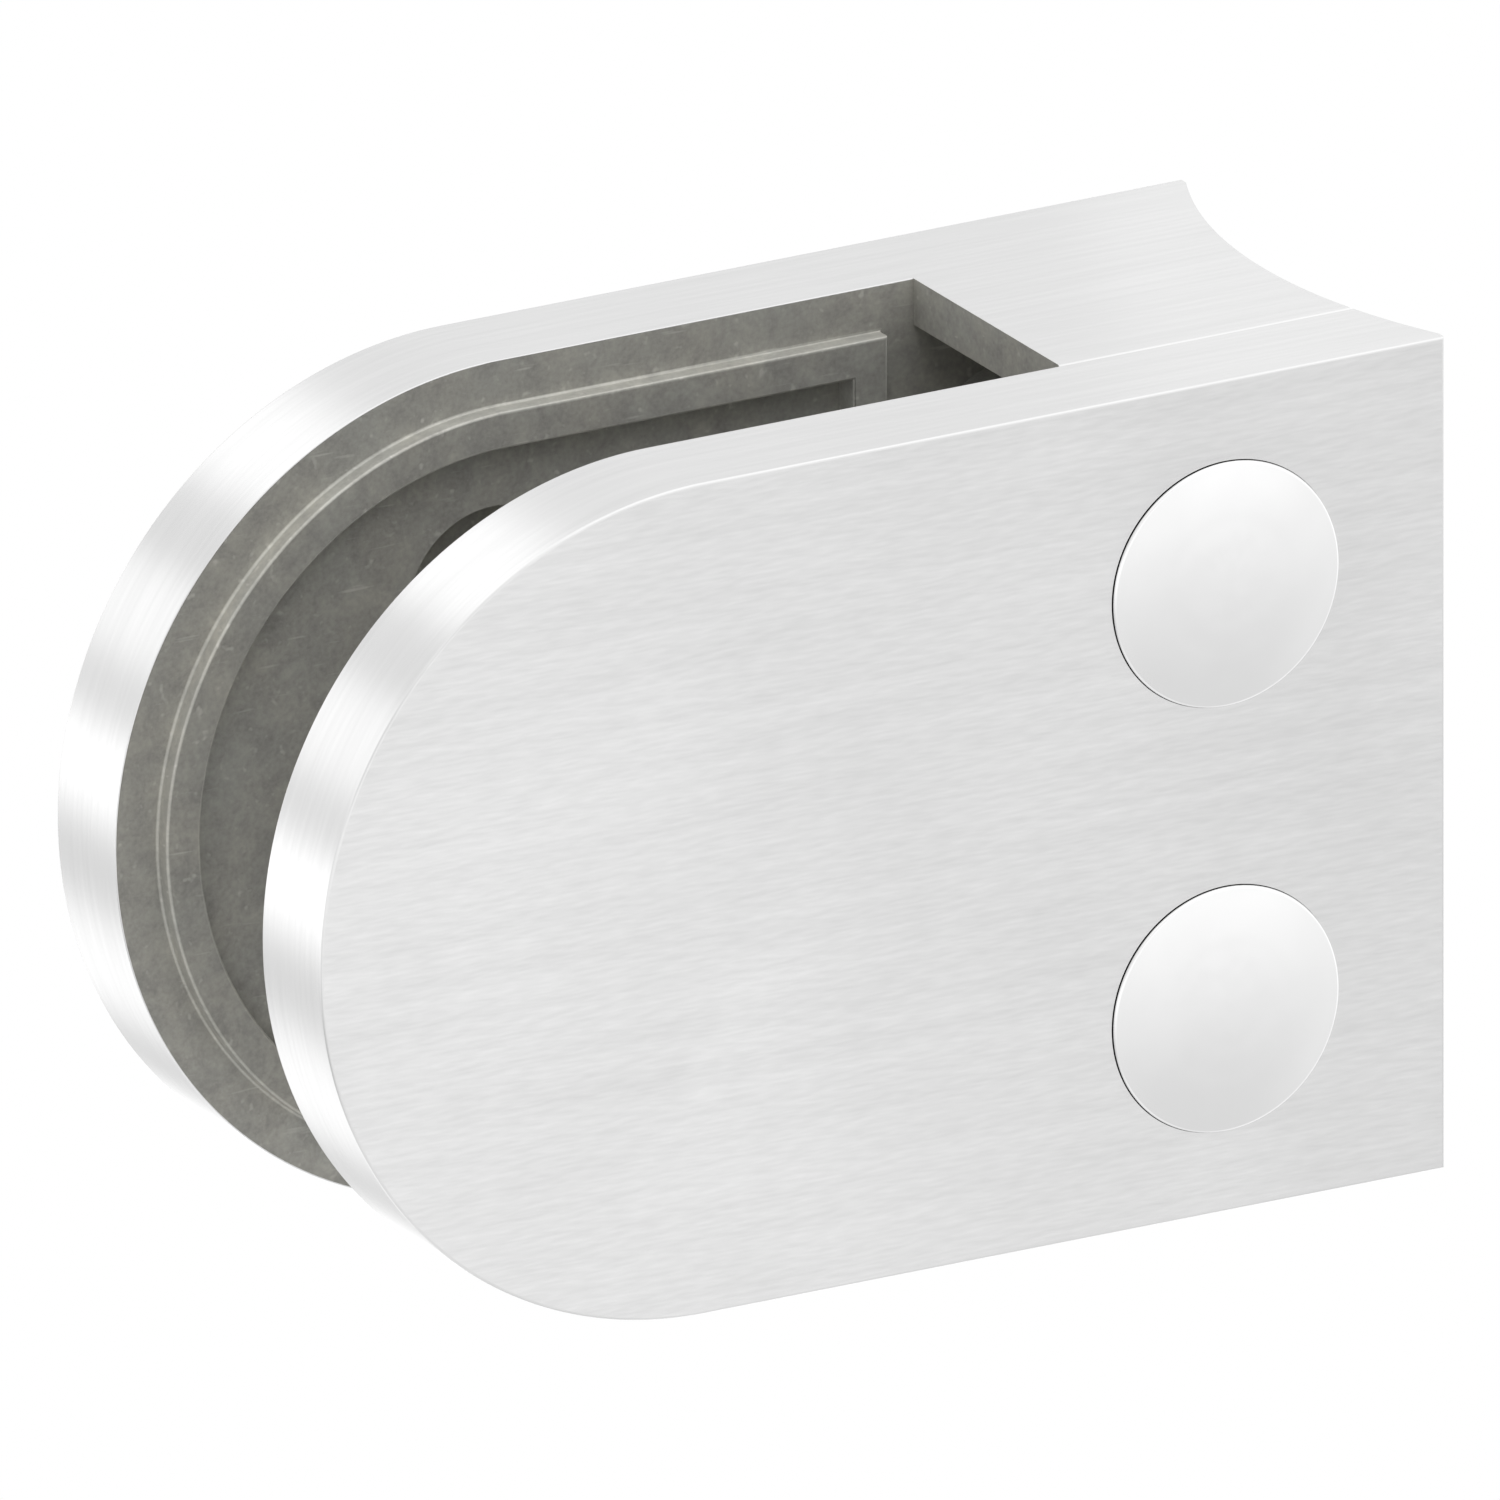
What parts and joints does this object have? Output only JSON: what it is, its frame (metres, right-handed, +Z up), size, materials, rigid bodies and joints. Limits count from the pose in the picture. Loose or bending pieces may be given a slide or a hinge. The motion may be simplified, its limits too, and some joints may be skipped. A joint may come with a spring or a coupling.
{
  "type": "glass panel clamp",
  "caption": "D-shaped stainless steel clamp for the edge of a glass panel: a saddle end screws to a round post and a loose front jaw is pulled in by screws from behind.",
  "frame": {"origin": "where the axis of the post screw hole meets the deepest line of the saddle, on the post's surface", "axes": "+X into the post along the post screw, -X towards the round nose, -Y out of the cover with the domed heads, +Z up along the post"},
  "size_m": [0.0659, 0.0276, 0.045],
  "materials": {
    "brushed_stainless": "brushed outside, as cast inside",
    "polished_stainless": "polished",
    "screw_stainless": "cold formed"
  },
  "bodies": {
    "base": {"clamp_body": "brushed_stainless"},
    "cover": {"clamp_cover": "brushed_stainless", "blind_nut_upper": "polished_stainless", "blind_nut_lower": "polished_stainless"},
    "upper_screw": {"clamping_screw_upper": "screw_stainless"},
    "lower_screw": {"clamping_screw_lower": "screw_stainless"}
  },
  "joints": [
    {"name": "cover_slide", "type": "slide", "parent": "base", "child": "cover", "axis": [0, -1, 0], "range_m": [0, 0.007]},
    {"name": "upper_screw_turn", "type": "hinge", "parent": "base", "child": "upper_screw", "pos_m": [-0.01, 0, 0.0115], "axis": [0, 1, 0], "range_deg": [0, 2520]},
    {"name": "lower_screw_turn", "type": "hinge", "parent": "base", "child": "lower_screw", "pos_m": [-0.01, 0, -0.0115], "axis": [0, 1, 0], "range_deg": [0, 2520]}
  ],
  "couplings": [
    {"joint": "upper_screw_turn", "follows": "cover_slide", "rad_per_m": 6283.2},
    {"joint": "lower_screw_turn", "follows": "cover_slide", "rad_per_m": 6283.2}
  ]
}
